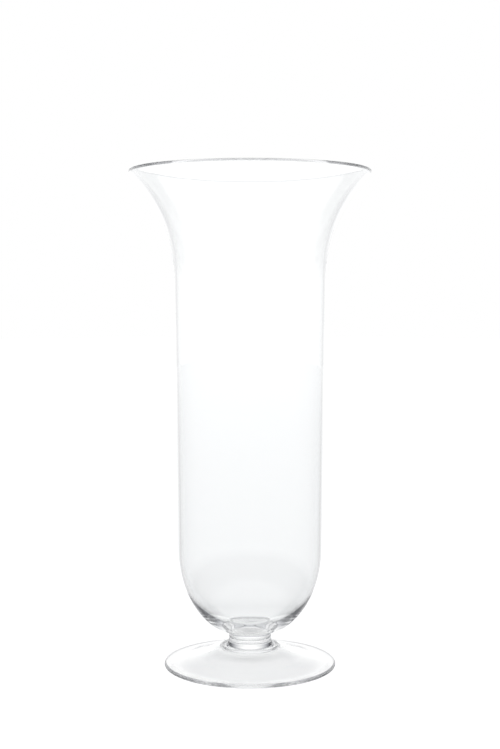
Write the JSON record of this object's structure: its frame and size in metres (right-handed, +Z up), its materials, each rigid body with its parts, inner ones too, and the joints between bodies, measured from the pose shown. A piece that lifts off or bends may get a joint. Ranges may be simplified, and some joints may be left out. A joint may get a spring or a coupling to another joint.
{
  "type": "footed vase",
  "caption": "Tall clear glass vase with a trumpet-flared mouth and round bottom, on a short waisted stem with a thin collar and a round, shallow conical foot.",
  "frame": {"origin": "centre of the foot, on the plane of the ring that the vase stands on", "axes": "+Z up along the vase's axis of revolution, towards the mouth; X and Y are free"},
  "size_m": [0.1936, 0.1936, 0.4],
  "materials": {
    "clear_glass": "clear colourless glass, fire-polished"
  },
  "bodies": {
    "root": {"foot": "clear_glass", "collar": "clear_glass", "stem": "clear_glass", "bowl": "clear_glass"}
  },
  "joints": []
}
